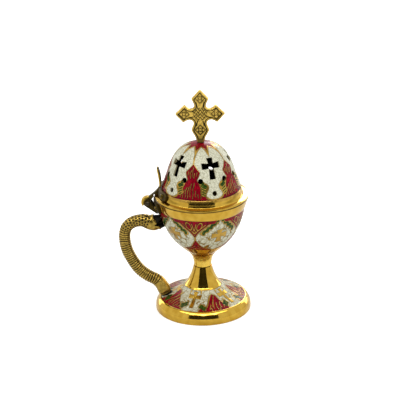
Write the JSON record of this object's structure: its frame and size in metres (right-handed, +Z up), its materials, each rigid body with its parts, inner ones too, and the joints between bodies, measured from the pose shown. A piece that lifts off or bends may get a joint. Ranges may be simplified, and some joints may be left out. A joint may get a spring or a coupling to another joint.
{
  "type": "footed hand censer",
  "caption": "Footed brass censer with a hinged, pierced dome lid, thumb lever, cross finial, lift-out charcoal cup and a serpent side handle.",
  "frame": {"origin": "on the floor, under the middle of the whole outline (the vessel's own axis stands at x = 13.65 mm)", "axes": "+Z up, -X towards the handle and hinge, +Y to the left when the handle is at the back"},
  "size_m": [0.1023, 0.0746, 0.18],
  "materials": {
    "gold_brass": "polished",
    "cast_brass": "cast, darkened in the recesses",
    "steel": "plain",
    "red_enamel": "glossy enamel on brass",
    "pale_enamel": "glossy enamel on brass",
    "sooted_brass": "heat-dulled"
  },
  "bodies": {
    "vessel": {"foot": "red_enamel", "stem": "gold_brass", "bowl": "red_enamel", "stem_bolt": "steel", "stem_washer": "steel", "stem_nut": "steel", "hinge_bracket": "cast_brass", "hinge_pin": "steel", "bracket_rivet_left": "gold_brass", "bracket_rivet_right": "gold_brass", "handle": "cast_brass", "handle_upper_screw": "steel", "handle_lower_screw": "steel"},
    "lid": {"lid_dome": "pale_enamel", "cross_finial": "cast_brass", "finial_washer": "steel", "finial_nut": "steel", "hinge_leaf": "cast_brass", "leaf_rivet_left": "gold_brass", "leaf_rivet_right": "gold_brass"},
    "cup": {"charcoal_cup": "sooted_brass"}
  },
  "joints": [
    {"name": "lid_hinge", "type": "hinge", "parent": "vessel", "child": "lid", "pos_m": [-0.02815, 0, 0.0893], "axis": [0, -1, 0], "range_deg": [0, 105]},
    {"name": "cup_lift", "type": "slide", "parent": "vessel", "child": "cup", "axis": [0, 0, 1], "range_m": [0, 0.006]}
  ]
}
